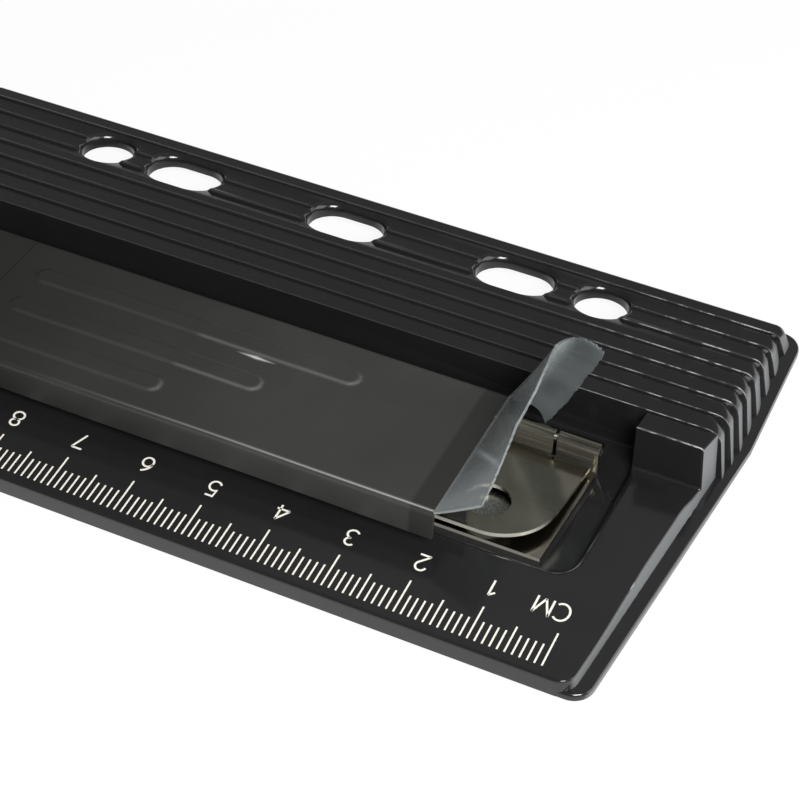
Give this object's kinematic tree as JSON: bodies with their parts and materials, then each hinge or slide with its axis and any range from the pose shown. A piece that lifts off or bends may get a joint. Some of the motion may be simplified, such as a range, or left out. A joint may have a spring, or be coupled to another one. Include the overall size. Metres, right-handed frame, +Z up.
{
  "type": "pocket hole punch",
  "caption": "Flat plastic pocket hole punch with a ruler edge, ribbed filing block with ring holes, steel punch and die leaves on a sprung hinge, and a smoky chip cover with end flaps.",
  "frame": {"origin": "middle of the body's length and depth, on the table it lies on", "axes": "+X along the ruler to the right, -Y towards the ruler edge where paper goes in, +Z up"},
  "size_m": [0.135, 0.0716, 0.0211],
  "materials": {
    "black_abs": "gloss black moulded plastic",
    "nickel_steel": "bright nickel plate",
    "steel": "bright steel",
    "smoky_pvc": "smoky translucent sheet",
    "clear_pvc": "clear grey sheet"
  },
  "bodies": {
    "base": {"base_body": "black_abs", "punch_plate": "nickel_steel", "plate_rivets": "steel", "left_punch": "steel", "right_punch": "steel", "hinge_pin": "steel", "left_return_spring": "steel", "right_return_spring": "steel"},
    "press_bar": {"die_plate": "nickel_steel", "chip_cover": "smoky_pvc"},
    "left_end_flap": {"left_flap": "smoky_pvc"},
    "right_end_flap": {"right_flap": "clear_pvc"}
  },
  "joints": [
    {"name": "press_hinge", "type": "hinge", "parent": "base", "child": "press_bar", "pos_m": [0, -0.00015, 0.00545], "axis": [1, 0, 0], "range_deg": [0, 5], "stiffness_Nm_per_rad": 0.016, "springref_deg": -20.05, "deforming": ["left_return_spring", "right_return_spring"]},
    {"name": "right_flap_crease", "type": "hinge", "parent": "press_bar", "child": "right_end_flap", "pos_m": [0.0364, 0.00009, 0.00819], "axis": [0, -0.9962, 0.0872], "range_deg": [-60, 40], "stiffness_Nm_per_rad": 0.002},
    {"name": "left_flap_crease", "type": "hinge", "parent": "press_bar", "child": "left_end_flap", "pos_m": [-0.0364, 0.00009, 0.00819], "axis": [0, 0.9962, -0.0872], "range_deg": [0, 100], "stiffness_Nm_per_rad": 0.002}
  ]
}
